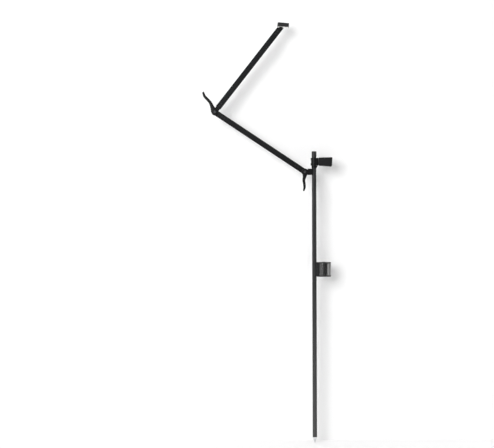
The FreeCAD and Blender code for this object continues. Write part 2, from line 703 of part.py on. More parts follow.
# ---- pole-top flood -----------------------------------------------------------
def flood_collar():
    bore = POLE_R + RUN_GAP
    ring_height = 8.0
    sleeve = rod_z(COLLAR_WAIST_R, (FLOOD_LOW, FLOOD_HIGH))
    rings = [rod_z(COLLAR_R, (FLOOD_LOW, FLOOD_LOW + ring_height)),
             rod_z(COLLAR_R, (FLOOD_HIGH - ring_height, FLOOD_HIGH))]
    block = box((0.0, COLLAR_BLOCK_X), (-COLLAR_BLOCK_HALF, COLLAR_BLOCK_HALF), (FLOOD_LOW, FLOOD_HIGH))
    edges = [e for e in block.Edges if e.BoundBox.XMin > COLLAR_BLOCK_X - 0.01]
    block = block.makeFillet(1.5, edges)
    whole = fused([sleeve, block] + rings)
    whole = whole.cut(rod_z(bore, (FLOOD_LOW - 1.0, FLOOD_HIGH + 1.0)))
    return whole.cut(rod_x(HINGE_BOLT_R, (FLOOD_BOLT_START_X, BIG), z=FLOOD_Z))


def collar_stop_ring():
    low, high = STOP_RING_Z
    ring = rod_z(STOP_RING_R, (low, high))
    outline = [vec(0, 0, low), vec(STOP_RING_R - 0.5, 0, low), vec(STOP_LUG_X, 0, high),
               vec(0, 0, high), vec(0, 0, low)]
    lug = Part.Face(Part.makePolygon(outline)).extrude(vec(0, 7.0, 0))
    lug.translate(vec(0, -3.5, 0))
    ring = fused([ring, lug]).cut(rod_z(POLE_R, (low - 1.0, high + 1.0)))
    return ring.cut(rod_y(SCREW_R, (0.0, BIG), 0.0, (low + high) / 2))


def stop_ring_screw():
    z = sum(STOP_RING_Z) / 2
    screw = rod_y(SCREW_R, (POLE_R, STOP_RING_R - 0.2), 0.0, z)
    socket = rod_y(0.8, (STOP_RING_R - 0.8, STOP_RING_R), 0.0, z)
    return screw.cut(socket)


def flood_friction_washer():
    span = (COLLAR_BLOCK_X, HOOD_START_X - THRUST_GAP)
    return rod_x(FLOOD_WASHER_R, span, z=FLOOD_Z).cut(rod_x(HINGE_BOLT_R, span, z=FLOOD_Z))


def flood_pivot_bolt():
    inner = HOOD_START_X + HOOD_BACK + THRUST_GAP
    outer = inner + FLOOD_BOLT_HEAD_T
    shank = rod_x(HINGE_BOLT_R, (FLOOD_BOLT_START_X, inner), z=FLOOD_Z)
    head = rod_x(FLOOD_BOLT_HEAD_R, (inner, outer), z=FLOOD_Z)
    socket = rod_x(FLOOD_BOLT_SOCKET_R, (inner + 1.2, outer + 1.0), z=FLOOD_Z)
    return fused([shank, head]).cut(socket)


def hood_section(x, inset):
    """Rectangle across the hood at a distance along X, drawn in by an inset."""
    share = (x - HOOD_START_X) / (HOOD_END_X - HOOD_START_X)
    half_y = (HOOD_NEAR[0] + share * (HOOD_FAR[0] - HOOD_NEAR[0])) / 2 - inset
    half_z = (HOOD_NEAR[1] + share * (HOOD_FAR[1] - HOOD_NEAR[1])) / 2 - inset
    mid = FLOOD_Z - share * HOOD_FAR_DROP
    corners = [(-half_y, mid - half_z), (half_y, mid - half_z),
               (half_y, mid + half_z), (-half_y, mid + half_z)]
    points = [vec(x, y, z) for y, z in corners]
    return Part.makePolygon(points + points[:1])


def hood_body(start, end, inset, corner):
    body = Part.makeLoft([hood_section(start, inset), hood_section(end, inset)], True, True)
    edges = [e for e in body.Edges if abs(e.tangentAt(e.FirstParameter).x) > 0.9]
    return body.makeFillet(corner, edges)


def mouth_corner(x, z, side):
    """Cutter that rounds the hood's mouth at its top (side 1) or bottom (side -1)."""
    r = HOOD_MOUTH_CORNER
    centre_z = z - side * r
    low, high = sorted((centre_z, z + side * r))
    block = box((x - r, x + r), (-BIG, BIG), (low, high))
    return block.cut(rod_y(r, (-BIG, BIG), x - r, centre_z))


def flood_hood():
    outer = hood_body(HOOD_START_X, HOOD_END_X + 3.0, 0.0, HOOD_CORNER)
    inner = hood_body(HOOD_START_X + HOOD_BACK, HOOD_END_X + 4.0, HOOD_WALL, HOOD_CORNER - HOOD_WALL + 0.4)
    hood = outer.cut(inner)
    top = FLOOD_Z + HOOD_FAR[1] / 2 - HOOD_FAR_DROP
    outline = [vec(HOOD_END_X, -BIG, top), vec(HOOD_END_X + BIG, -BIG, top + 2 * BIG),
               vec(HOOD_END_X + BIG, -BIG, top - BIG), vec(HOOD_END_X - HOOD_SLANT, -BIG, top - HOOD_FAR[1])]
    wedge = Part.Face(Part.makePolygon(outline + outline[:1])).extrude(vec(0, 2 * BIG, 0))
    hood = hood.cut(wedge)
    hood = hood.cut(mouth_corner(HOOD_END_X, top, 1))
    hood = hood.cut(mouth_corner(HOOD_END_X - HOOD_SLANT, top - HOOD_FAR[1], -1))
    return hood.cut(rod_x(HINGE_BOLT_R + RUN_GAP, (0.0, 40.0), z=FLOOD_Z))


def flood_fill(start, end):
    """Solid that fills the inside of the hood between two places along X."""
    return hood_body(start, end, HOOD_WALL + 0.05, 0.8)


def flood_heat_sink():
    near, far = FLOOD_SINK_X
    sink = flood_fill(near, far)
    for k in range(-4, 5):
        gap = (FIN_PITCH * k - FIN_GAP / 2, FIN_PITCH * k + FIN_GAP / 2)
        sink = sink.cut(box((near - 1.0, far - 3.0), gap, (FLOOD_Z - BIG, FLOOD_Z + BIG)))
    return sink


def flood_led_board():
    board = flood_fill(*FLOOD_BOARD_X)
    face = FLOOD_BOARD_X[1]
    half = FLOOD_CHIP_HALF
    chips = []
    for row in FLOOD_CHIP_ROWS:
        z = FLOOD_Z + row
        for k in range(4):
            y = FLOOD_CHIP_PITCH * (k - 1.5)
            chips.append(box((face, face + FLOOD_CHIP_T), (y - half, y + half), (z - half, z + half)))
    return fused([board] + chips)


def tray_opening(x, half_y, z):
    """Rectangle of the reflector's sloping opening at a place along X."""
    corners = [(-half_y, z[0]), (half_y, z[0]), (half_y, z[1]), (-half_y, z[1]), (-half_y, z[0])]
    return Part.makePolygon([vec(x, y, FLOOD_Z + height) for y, height in corners])


def flood_reflector():
    start, end = FLOOD_TRAY_X
    tray = flood_fill(start, end)
    near = tray_opening(start - 0.6, 15.5, (-8.5, 8.0))
    far = tray_opening(end + 0.5, 21.5, (-14.0, 12.0))
    return tray.cut(Part.makeLoft([near, far], True, True))


def flood_lens():
    return flood_fill(*FLOOD_LENS_X)


# ---- driver canister ----------------------------------------------------------
def canister_shell():
    near_side = (0.0, CAN_X - CAN_BORE + 4.0)
    shell = tube_z(CAN_R, CAN_BORE, (CELL_LOW, CAN_Z[1] - CAN_CAP), CAN_X)
    for z in CAN_SCREW_Z:
        shell = shell.cut(rod_x(SCREW_R, near_side, z=z))
    return shell.cut(rod_x(WIRE_HOLE_R, near_side, z=CAN_MID_Z))


def canister_cap(outer_z, inner_z):
    """Disc with a spigot ring that goes inside the shell; z runs from outside in."""
    inward = 1.0 if inner_z > outer_z else -1.0
    ring_end = inner_z + inward * 4.0
    disc = rod_z(CAN_R, (min(outer_z, inner_z), max(outer_z, inner_z)), CAN_X)
    rim = [e for e in disc.Edges if abs(e.BoundBox.ZMin - outer_z) < 0.01 and e.BoundBox.ZLength < 0.01]
    disc = disc.makeChamfer(0.8, rim)
    span = (min(inner_z, ring_end), max(inner_z, ring_end))
    return fused([disc, tube_z(CAN_BORE, CAN_BORE - 1.5, span, CAN_X)])


def canister_top_cap():
    cap = canister_cap(CAN_Z[1], CAN_Z[1] - CAN_CAP)
    return cap.cut(rod_z(BUTTON_R + RUN_GAP, (0.0, BIG * 10), CAN_X))


def socket_outline(z, inset):
    """Flat oval slot of the charging socket, as a solid between two heights."""
    centre = SOCKET_HALF[0] - SOCKET_HALF[1]
    half = SOCKET_HALF[1] - inset
    oval = box((CAN_X - centre, CAN_X + centre), (-half, half), z)
    ends = [rod_z(half, z, CAN_X + side * centre) for side in (-1, 1)]
    return fused([oval] + ends)


def canister_bottom_cap():
    cap = canister_cap(CAN_Z[0], CAN_Z[0] + CAN_CAP)
    return cap.cut(socket_outline((CAN_Z[0] - 1.0, CAN_Z[0] + CAN_CAP + 1.0), 0.0))


def charge_socket():
    low, high = CAN_Z[0], CAN_Z[0] + CAN_CAP
    shell = socket_outline((low, high), 0.0)
    hollow = socket_outline((low - 1.0, high - 1.0), SOCKET_WALL)
    tab = box((CAN_X - 3.0, CAN_X + 3.0), (-SOCKET_WALL, SOCKET_WALL), (low + 0.6, high - 0.5))
    return fused([shell.cut(hollow), tab])


def cell_places():
    angles = [math.radians(60 + 120 * k) for k in range(3)]
    return [(CAN_X + CELL_RING_R * math.cos(a), CELL_RING_R * math.sin(a)) for a in angles]


def battery_cells():
    low = CELL_LOW + 1.0
    cells = []
    for x, y in cell_places():
        can = rod_z(CELL_R, (low, low + CELL_LENGTH - 1.0), x, y)
        button = rod_z(2.8, (low + CELL_LENGTH - 1.0, low + CELL_LENGTH), x, y)
        cells.append(fused([can, button]))
    return group(cells)


def battery_holder():
    disc = rod_z(HOLDER_R, (CELL_LOW, CELL_LOW + HOLDER_T), CAN_X)
    for x, y in cell_places():
        disc = disc.cut(rod_z(CELL_R, (CELL_LOW + 1.0, CELL_LOW + CELL_LENGTH), x, y))
    return disc


def driver_board():
    face = BOARD_LOW + BOARD_T
    board = rod_z(BOARD_R, (BOARD_LOW, face), CAN_X)
    coil = rod_z(4.5, (face, face + 3.4), CAN_X + 12.5)
    switch = rod_z(3.0, (face, face + SWITCH_T), CAN_X)
    chip = box((CAN_X - 15.0, CAN_X - 9.0), (-4.0, 4.0), (face, face + 1.4))
    return fused([board, coil, switch, chip])


def power_button():
    low = BOARD_LOW + BOARD_T + SWITCH_T + BUTTON_PROUD + 0.2
    stem = rod_z(BUTTON_R, (low, CAN_Z[1] + BUTTON_PROUD), CAN_X)
    rim = [e for e in stem.Edges if e.BoundBox.ZMin > CAN_Z[1] + BUTTON_PROUD - 0.01]
    stem = stem.makeFillet(0.6, rim)
    flange = rod_z(BUTTON_R + BUTTON_FLANGE, (low, CAN_Z[1] - CAN_CAP - 0.1), CAN_X)
    return fused([stem, flange])


def canister_saddle():
    neck = box((1.0, SADDLE_END_X), (-SADDLE_NECK_HALF, SADDLE_NECK_HALF), SADDLE_Z)
    cradle = box((POLE_R + 0.2, SADDLE_END_X), (-CRADLE_HALF, CRADLE_HALF), SADDLE_Z)
    corners = [e for e in cradle.Edges if e.BoundBox.ZLength > 1.0 and e.BoundBox.XMax < POLE_R + 0.3]
    block = fused([neck, cradle.makeChamfer(CRADLE_CHAMFER, corners)])
    block = block.cut(rod_z(POLE_R, (SADDLE_Z[0] - 1.0, SADDLE_Z[1] + 1.0)))
    block = block.cut(rod_z(CAN_R, (SADDLE_Z[0] - 1.0, SADDLE_Z[1] + 1.0), CAN_X))
    for z in CAN_SCREW_Z:
        block = block.cut(rod_x(SCREW_R, (0.0, 20.0), z=z))
    return block.cut(rod_x(WIRE_HOLE_R, (0.0, 20.0), z=CAN_MID_Z))


def canister_screws():
    seat = CAN_X - math.sqrt(CAN_BORE ** 2 - SCREW_HEAD_R ** 2)
    return group([socket_screw_x(seat + SCREW_HEAD_T, z, 10.5, -1) for z in CAN_SCREW_Z])


# ---- assembly -----------------------------------------------------------------
def at_shoulder(shape, angle=0.0):
    return placed(shape, SHOULDER_X, SHOULDER_Z, angle)


def at_elbow(shape, angle=0.0):
    return placed(shape, ELBOW_X, ELBOW_Z, angle)


def shoulder_bolt():
    return at_shoulder(hinge_bolt())


def shoulder_nut():
    return at_shoulder(hinge_nut(THRUST_GAP))


def shoulder_friction_washers():
    return at_shoulder(friction_washers(TONGUE_T / 2, HINGE_BOLT_R))


def shoulder_lever():
    return at_shoulder(lever(SHOULDER_LEVER_LENGTH, SHOULDER_LEVER_STATIONS), SHOULDER_LEVER_ANGLE)


def elbow_bolt():
    return at_elbow(hinge_bolt())


def elbow_nut():
    return at_elbow(hinge_nut(0.0))


def elbow_friction_washers():
    return at_elbow(friction_washers(CHEEK_IN - FRICTION_WASHER_T, HINGE_BOLT_R))


def elbow_lever():
    return at_elbow(lever(ELBOW_LEVER_LENGTH, ELBOW_LEVER_STATIONS), ELBOW_LEVER_ANGLE)


def lower_arm_rivets():
    return on_lower_arm(rivets(LOWER_RIVETS))


def upper_arm_rivets():
    return on_upper_arm(rivets(UPPER_RIVETS))


NODES = {
    "pole_lower_tube": pole_lower_tube,
    "pole_upper_tube": pole_upper_tube,
    "pole_joiner": pole_joiner,
    "pole_top_cap": pole_top_cap,
    "foot_plug": foot_plug,
    "foot_spike": foot_spike,
    "pole_conductor": pole_conductor,
    "conductor_spacers": conductor_spacers,
    "shoulder_bracket": shoulder_bracket,
    "shoulder_bracket_screws": shoulder_bracket_screws,
    "shoulder_nut_plate": shoulder_nut_plate,
    "shoulder_bolt": shoulder_bolt,
    "shoulder_nut": shoulder_nut,
    "shoulder_friction_washers": shoulder_friction_washers,
    "shoulder_lever": shoulder_lever,
    "collar_stop_ring": collar_stop_ring,
    "stop_ring_screw": stop_ring_screw,
    "canister_saddle": canister_saddle,
    "canister_screws": canister_screws,
    "canister_shell": canister_shell,
    "canister_top_cap": canister_top_cap,
    "canister_bottom_cap": canister_bottom_cap,
    "charge_socket": charge_socket,
    "battery_holder": battery_holder,
    "battery_cells": battery_cells,
    "driver_board": driver_board,
    "power_button": power_button,
    "lower_arm_tube": lower_arm_tube,
    "lower_arm_shoulder_fork": lower_arm_shoulder_fork,
    "lower_arm_elbow_fork": lower_arm_elbow_fork,
    "lower_arm_rivets": lower_arm_rivets,
    "lower_arm_conductor": lower_arm_conductor,
    "elbow_bolt": elbow_bolt,
    "elbow_nut": elbow_nut,
    "elbow_friction_washers": elbow_friction_washers,
    "elbow_lever": elbow_lever,
    "upper_arm_tube": upper_arm_tube,
    "upper_arm_elbow_tongue": upper_arm_elbow_tongue,
    "upper_arm_head_end": upper_arm_head_end,
    "upper_arm_rivets": upper_arm_rivets,
    "upper_arm_conductor": upper_arm_conductor,
    "head_housing": head_housing,
    "head_diffuser": head_diffuser,
    "head_led_board": head_led_board,
    "head_heat_sink": head_heat_sink,
    "head_hinge_pin": head_hinge_pin,
    "head_screws": head_screws,
    "flood_collar": flood_collar,
    "flood_friction_washer": flood_friction_washer,
    "flood_pivot_bolt": flood_pivot_bolt,
    "flood_hood": flood_hood,
    "flood_heat_sink": flood_heat_sink,
    "flood_led_board": flood_led_board,
    "flood_reflector": flood_reflector,
    "flood_lens": flood_lens,
}

os.makedirs("parts", exist_ok=True)
for name, make in NODES.items():
    shape = make()
    assert shape.isValid(), name
    shape.exportStep("parts/" + name + ".step")
    print(name, len(shape.Solids), round(shape.Volume, 1))
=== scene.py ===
import json
import math

import bmesh
import bpy
from mathutils import Matrix, Vector


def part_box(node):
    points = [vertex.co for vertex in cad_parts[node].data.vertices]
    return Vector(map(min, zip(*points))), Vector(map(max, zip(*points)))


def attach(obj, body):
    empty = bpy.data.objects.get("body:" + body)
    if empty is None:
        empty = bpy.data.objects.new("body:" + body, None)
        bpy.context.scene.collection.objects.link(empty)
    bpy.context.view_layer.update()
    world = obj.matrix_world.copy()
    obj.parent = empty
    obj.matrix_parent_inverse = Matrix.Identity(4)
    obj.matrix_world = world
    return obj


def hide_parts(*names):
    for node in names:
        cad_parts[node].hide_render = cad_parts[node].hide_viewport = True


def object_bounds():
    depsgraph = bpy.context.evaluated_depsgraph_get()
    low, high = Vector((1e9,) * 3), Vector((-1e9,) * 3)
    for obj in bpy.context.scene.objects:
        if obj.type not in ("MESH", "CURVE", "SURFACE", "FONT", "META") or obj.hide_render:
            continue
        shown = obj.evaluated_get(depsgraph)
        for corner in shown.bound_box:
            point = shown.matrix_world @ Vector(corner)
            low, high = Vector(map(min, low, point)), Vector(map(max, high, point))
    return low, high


# Looks of the pole-mounted picture light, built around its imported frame. Metres throughout.

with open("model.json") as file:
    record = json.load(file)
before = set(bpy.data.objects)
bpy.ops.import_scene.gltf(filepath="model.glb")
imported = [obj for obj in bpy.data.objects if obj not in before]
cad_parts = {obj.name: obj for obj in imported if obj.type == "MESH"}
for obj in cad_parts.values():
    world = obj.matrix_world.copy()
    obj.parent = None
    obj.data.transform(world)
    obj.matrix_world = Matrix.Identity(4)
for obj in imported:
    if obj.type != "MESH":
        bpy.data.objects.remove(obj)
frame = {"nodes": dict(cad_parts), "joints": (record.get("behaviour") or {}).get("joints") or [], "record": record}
CAD_BOX = [list(corner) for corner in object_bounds()]
NODES = frame["nodes"]
JOINTS = {joint["name"]: joint for joint in frame["joints"]}
MM = 0.001

# ---- camera, stage and lights --------------------------------------------------
VIEW_CENTRE = Vector((-0.2421, 0.0, 0.7675))
VIEW_WIDTH = 1.7784
VIEW_DISTANCE = 6.0
VIEW_ROLL_DEG = 0.18
SENSOR_WIDTH = 36.0
BACKDROP_GAP = 0.075
BACKDROP_SIZE = (5.0, 4.0)
BACKDROP_SHADE = 0.91
FLOOR_SIZE = 9.0
FLOOR_SHADE = 0.985
WORLD_STRENGTH = 0.125
# Each round soft light's place, width in metres, and watts.
LIGHTS = {
    "key": ((-2.28, -4.86, 2.23), 3.24, 211.0),
    "side": ((2.0, -0.6, 0.62), 1.25, 8.0),
    "left": ((-2.0, -1.3, 0.62), 1.5, 3.7),
    "top": ((-0.1, -1.1, 3.6), 1.6, 27.0),
}

# ---- lever shapes: share of length, sway and half width in mm -------------------
SHOULDER_STATIONS = ((0.08, 1.6, 10.2), (0.24, 0.2, 6.9), (0.44, -1.9, 5.2),
                     (0.60, 0.4, 5.0), (0.80, 2.3, 4.4), (0.96, 0.2, 3.4))
ELBOW_STATIONS = ((0.08, 0.8, 11.2), (0.24, -1.0, 7.3), (0.44, -2.9, 5.5),
                  (0.60, -0.5, 5.4), (0.80, 3.1, 4.9), (0.96, 1.0, 3.8))
# Each lever's joint, length in mm, angle above +X, and stations.
LEVERS = {
    "shoulder_lever": ("shoulder_lever_turn", 70.0, 266.5, SHOULDER_STATIONS),
    "elbow_lever": ("elbow_lever_turn", 84.0, 120.0, ELBOW_STATIONS),
}
LEVER_BOSS_R = 11.5
LEVER_BORE_R = 3.1
BOLT_SEAT_R = 5.6
BOLT_SEAT_DEPTH = 0.3

# ---- lever blades: steps along a blade and points round it, then sizes in mm ----
BLADE_STEPS = 72
BLADE_SIDES = 28
BLADE_HALF_T = 2.3
BLADE_THINNING = 0.4
TIP_ROUNDING = 2.6
# The tip's last section keeps this half width, so that it isn't a point.
TIP_HALF = 0.15
# Power on the sine and cosine of a section: 1 is an ellipse, and less is squarer.
BLADE_SQUARENESS = 0.78
SKIN_VOXEL = 0.45
SKIN_SMOOTHINGS = 6

# ---- canister trim (mm) --------------------------------------------------------
CANISTER_AXIS = (34.0, 0.0)
CANISTER_R = 25.8
SEAL_HALF_HEIGHT = 0.45
SEAL_DEPTH = 0.8
SEAL_PROUD = 0.25
SEAL_ROUNDING = 0.3
BUTTON_BORE = 5.05
BEZEL_SUNK = 0.4
BEZEL_PROUD = 0.5
BEZEL_GAP = 0.15
BEZEL_WIDTH = 1.6
BEZEL_ROUNDING = 0.35

# ---- flood emitters (mm) -------------------------------------------------------
EMITTER_ROWS = (985.6, 995.6)
EMITTER_COLUMNS = 4
EMITTER_PITCH = 8.0
DOME_R = 1.35
DOME_HEIGHT = 0.9
DOME_STEPS = 8
DOME_LIFT = 0.05
# A dome's middle is left open by this radius, so that its top isn't a point.
DOME_CORE_R = 0.02


# ---- node helpers --------------------------------------------------------------
class Tree:
    """A material's node tree with short ways to add and join nodes."""

    def __init__(self, name):
        self.material = bpy.data.materials.new(name)
        self.material.use_nodes = True
        self.nodes = self.material.node_tree.nodes
        self.links = self.material.node_tree.links
        self.shader = self.nodes["Principled BSDF"]

    def add(self, kind, settings=None, **inputs):
        node = self.nodes.new("ShaderNode" + kind)
        for key, value in (settings or {}).items():
            setattr(node, key, value)
        for key, value in inputs.items():
            self.feed(node.inputs[key.replace("_", " ")], value)
        return node

    def feed(self, socket, value):
        if isinstance(value, bpy.types.NodeSocket):
            self.links.new(value, socket)
        else:
            socket.default_value = value

    def set(self, **inputs):
        """Feed the shader's own sockets."""
        for key, value in inputs.items():
            self.feed(self.shader.inputs[key.replace("_", " ")], value)

    def place(self, stretch=(1.0, 1.0, 1.0)):
        """Object-space place, stretched along each axis."""
        coords = self.add("TexCoord").outputs["Object"]
        return self.add("Mapping", Vector=coords, Scale=stretch).outputs["Vector"]

    def noise(self, scale, stretch=(1.0, 1.0, 1.0), detail=3.0, roughness=0.5):
        node = self.add("TexNoise", Vector=self.place(stretch), Scale=scale, Detail=detail,
                        Roughness=roughness)
        return node.outputs["Fac"]

    def remap(self, value, low, high, from_low=0.3, from_high=0.7):
        node = self.add("MapRange", Value=value, From_Min=from_low, From_Max=from_high,
                        To_Min=low, To_Max=high)
        return node.outputs["Result"]

    def maths(self, operation, a, b):
        node = self.add("Math", {"operation": operation})
        self.feed(node.inputs[0], a)
        self.feed(node.inputs[1], b)
        return node.outputs[0]

    def mix(self, factor, first, second):
        node = self.add("Mix", {"data_type": "RGBA"})
        self.feed(node.inputs[0], factor)
        self.feed(node.inputs[6], first)
        self.feed(node.inputs[7], second)
        return node.outputs[2]

    def soft_edges(self, radius):
        return self.add("Bevel", {"samples": 6}, Radius=radius).outputs["Normal"]

    def edge_mask(self, soft_normal):
        """1 at edges and corners, where the rounded normal leaves the face's own, and 0 elsewhere."""
        face = self.add("NewGeometry").outputs["Normal"]
        dot = self.add("VectorMath", {"operation": "DOT_PRODUCT"})
        self.feed(dot.inputs[0], soft_normal)
        self.feed(dot.inputs[1], face)
        return self.remap(dot.outputs["Value"], 1.0, 0.0, 0.72, 0.985)

    def bump(self, height, distance, strength, under=None):
        node = self.add("Bump", Height=height, Distance=distance, Strength=strength)
        if under is not None:
            self.links.new(under, node.inputs["Normal"])
        return node.outputs["Normal"]


def rgba(grey_or_rgb):
    """Opaque colour from one grey value or from three."""
    if isinstance(grey_or_rgb, float):
        return (grey_or_rgb, grey_or_rgb, grey_or_rgb, 1.0)
    return (*grey_or_rgb, 1.0)


def scaled(colour, factor):
    """Opaque colour, darker or lighter than the one given."""
    return rgba(tuple(c * factor for c in colour))


# ---- materials -----------------------------------------------------------------
def painted_foot_light(tree, base, patches, shade, top):
    """Painted light from below: a paler grey over a base colour, full at Z = 0, gone at the height given."""
    height = tree.add("SeparateXYZ", Vector=tree.place()).outputs["Z"]
    lit_share = tree.remap(height, 0.0, 1.0, top, 0.0)
    lit_share = tree.maths("MULTIPLY", lit_share, tree.remap(patches, 0.85, 1.0))
    return tree.mix(lit_share, base, rgba(shade))


def painted(name, colour, worn, roughness, peel_scale, wear, gloss, veil=None):
    """Powder coat or enamel: orange-peel, cloudy gloss, and paint thinned along the edges.

    The veil, where there is any, is painted light from below: its shade of grey and the height where it ends.
    """
    tree = Tree(name)
    soft = tree.soft_edges(0.0007)
    patches = tree.noise(260.0, detail=5.0, roughness=0.65)
    mask = tree.maths("MULTIPLY", tree.edge_mask(soft), tree.remap(patches, 0.0, wear))
    cloud = tree.remap(tree.noise(14.0, detail=4.0), 0.0, 1.0)
    base = tree.mix(cloud, scaled(colour, 0.82), scaled(colour, 1.2))
    # Painted light: paler towards Z = 0, as if lit from below.
    if veil:
        base = painted_foot_light(tree, base, patches, *veil)
    tree.set(Base_Color=tree.mix(mask, base, rgba(worn)))
    smears = tree.remap(tree.noise(38.0, (1.0, 1.0, 0.35), 5.0), roughness - 0.06, roughness + 0.08)
    tree.set(Roughness=tree.maths("ADD", smears, tree.maths("MULTIPLY", mask, 0.12)))
    peel = tree.noise(peel_scale, detail=2.0)
    fine = tree.noise(peel_scale * 3.7, detail=2.0)
    skin = tree.maths("ADD", peel, tree.maths("MULTIPLY", fine, 0.35))
    tree.set(Normal=tree.bump(skin, 0.00012, 0.6, soft))
    tree.set(Specular_IOR_Level=gloss)
    return tree.material


def gloss_enamel():
    """Deep black stoved enamel: a mirror-like coat over a slightly wavy base."""
    tree = Tree("gloss_enamel")
    soft = tree.soft_edges(0.0006)
    cloud = tree.remap(tree.noise(16.0, detail=4.0), 0.0, 1.0)
    tree.set(Base_Color=tree.mix(cloud, rgba((0.004, 0.004, 0.0045)), rgba((0.007, 0.007, 0.008))))
    tree.set(Roughness=tree.remap(tree.noise(46.0, (1.0, 1.0, 0.4), 5.0), 0.34, 0.48))
    tree.set(Specular_IOR_Level=0.2, Coat_Weight=1.0, Coat_IOR=1.95, Coat_Roughness=0.13)
    wave = tree.bump(tree.noise(70.0, detail=2.0), 0.0001, 0.06, soft)
    tree.set(Normal=wave, Coat_Normal=wave)
    return tree.material


def moulded(name, colour, roughness, grain=2200.0):
    """Moulded plastic with a fine spark-eroded grain and handling shine."""
    tree = Tree(name)
    soft = tree.soft_edges(0.0005)
    cloud = tree.remap(tree.noise(20.0, detail=3.0), 0.0, 1.0)
    tree.set(Base_Color=tree.mix(cloud, scaled(colour, 0.85), scaled(colour, 1.15)))
    tree.set(Roughness=tree.remap(tree.noise(60.0, detail=4.0), roughness - 0.08, roughness + 0.08))
    cells = tree.add("TexVoronoi", Vector=tree.place(), Scale=grain).outputs["Distance"]
    tree.set(Normal=tree.bump(cells, 0.00008, 0.3, soft))
    return tree.material


def metal(name, colour, roughness, stretch, line_scale=900.0, depth=0.25):
    """Bare metal with brush or tool lines drawn out along one axis."""
    tree = Tree(name)
    soft = tree.soft_edges(0.0003)
    lines = tree.noise(line_scale, stretch, detail=3.0, roughness=0.6)
    stain = tree.remap(tree.noise(55.0, detail=5.0), 0.0, 1.0)
    tree.set(Base_Color=tree.mix(stain, scaled(colour, 0.72), rgba(colour)), Metallic=1.0)
    tree.set(Roughness=tree.remap(lines, roughness - 0.05, roughness + 0.12))
    tree.set(Normal=tree.bump(lines, 0.00005, depth, soft))
    return tree.material


def opal():
    """Opal acrylic: milky, slightly lit through, with a fine frosted skin."""
    tree = Tree("opal_acrylic")
    cloud = tree.remap(tree.noise(90.0, detail=3.0), 0.0, 1.0)
    tree.set(Base_Color=tree.mix(cloud, rgba((0.74, 0.74, 0.70)), rgba((0.84, 0.84, 0.81))))
    tree.set(Roughness=tree.remap(tree.noise(400.0), 0.30, 0.44))
    tree.set(Normal=tree.bump(tree.noise(3000.0), 0.00005, 0.2, tree.soft_edges(0.0005)))
    tree.set(Subsurface_Weight=0.25, Subsurface_Scale=0.002, Subsurface_Radius=(1.0, 1.0, 1.0))
    return tree.material


def ribbed_glass():
    """Clear toughened glass with shallow vertical prisms that spread the beam."""
    tree = Tree("ribbed_glass")
    wave = tree.add("TexWave", {"bands_direction": "Y"}, Vector=tree.place(), Scale=55.0)
    veil = tree.remap(tree.noise(160.0, detail=5.0), 0.03, 0.14)
    tree.set(Base_Color=rgba((0.93, 0.96, 0.96)), Roughness=veil)
    tree.set(Transmission_Weight=1.0, IOR=1.47)
    tree.set(Normal=tree.bump(wave.outputs["Fac"], 0.0004, 0.35))
    return tree.material


def hammered_reflector():
    """Bright aluminium sheet with small soft dimples."""
    tree = Tree("hammered_reflector")
    dimples = tree.add("TexVoronoi", {"feature": "SMOOTH_F1"}, Vector=tree.place(), Scale=420.0)
    haze = tree.remap(tree.noise(70.0, detail=4.0), 0.0, 1.0)
    tree.set(Base_Color=tree.mix(haze, rgba((0.78, 0.78, 0.79)), rgba((0.88, 0.88, 0.89))), Metallic=1.0)
    tree.set(Roughness=tree.remap(tree.noise(120.0), 0.10, 0.20))
    tree.set(Normal=tree.bump(dimples.outputs["Distance"], 0.0004, 0.5))
    return tree.material


def circuit_board():
    """White solder mask over raised tracks."""
    tree = Tree("circuit_board")
    tracks = tree.add("TexBrick", Vector=tree.place(), Scale=160.0)
    tracks.inputs["Mortar Size"].default_value = 0.04
    dirt = tree.remap(tree.noise(150.0, detail=4.0), 0.0, 1.0)
    tree.set(Base_Color=tree.mix(dirt, rgba((0.66, 0.68, 0.66)), rgba((0.80, 0.82, 0.80))))
    tree.set(Roughness=tree.remap(dirt, 0.25, 0.4, 0.0, 1.0))
    tree.set(Normal=tree.bump(tracks.outputs["Fac"], 0.0001, 0.4, tree.soft_edges(0.0002)))
    return tree.material


def phosphor():
    """Yellow phosphor under each light emitter's clear dome."""
    tree = Tree("phosphor")
    grain = tree.remap(tree.noise(2600.0, detail=3.0), 0.0, 1.0)
    tree.set(Base_Color=tree.mix(grain, rgba((0.78, 0.60, 0.12)), rgba((0.90, 0.78, 0.26))))
    tree.set(Roughness=tree.remap(tree.noise(900.0), 0.12, 0.25), Coat_Weight=0.6, Coat_Roughness=0.08)
    return tree.material


def satin(name, colour, gloss, veil=None):
    """One shade of the satin black powder coat."""
    return painted(name, colour, (0.05, 0.051, 0.054), 0.40, 900.0, 0.5, gloss, veil)


MATERIALS = {
    "satin_black": satin("satin_powder_coat", (0.0075, 0.0078, 0.0088), 0.26),
    "gloss_black": gloss_enamel(),
    "cast_black": painted("cast_enamel", (0.0032, 0.0032, 0.0036), (0.05, 0.05, 0.05),
                          0.36, 700.0, 0.6, 0.16),
    "dark_steel": metal("black_oxide_steel", (0.07, 0.07, 0.074), 0.38, (1.0, 6.0, 1.0)),
    "black_plastic": moulded("moulded_black", (0.0080, 0.0080, 0.0085), 0.48),
    "steel": metal("plated_steel", (0.62, 0.63, 0.65), 0.30, (1.0, 6.0, 1.0)),
    "polished_steel": metal("turned_steel", (0.78, 0.79, 0.81), 0.16, (0.05, 0.05, 8.0), 500.0, 0.35),
    "aluminium": metal("milled_aluminium", (0.70, 0.71, 0.73), 0.34, (1.0, 1.0, 9.0)),
    "opal": opal(),
    "lens_glass": ribbed_glass(),
    "reflector": hammered_reflector(),
    "board": circuit_board(),
    "cell_wrap": moulded("cell_sleeve", (0.05, 0.10, 0.24), 0.30, 900.0),
    "nylon": moulded("natural_nylon", (0.60, 0.58, 0.53), 0.42),
    "ribbon": moulded("ribbon_jacket", (0.03, 0.03, 0.03), 0.55),
}
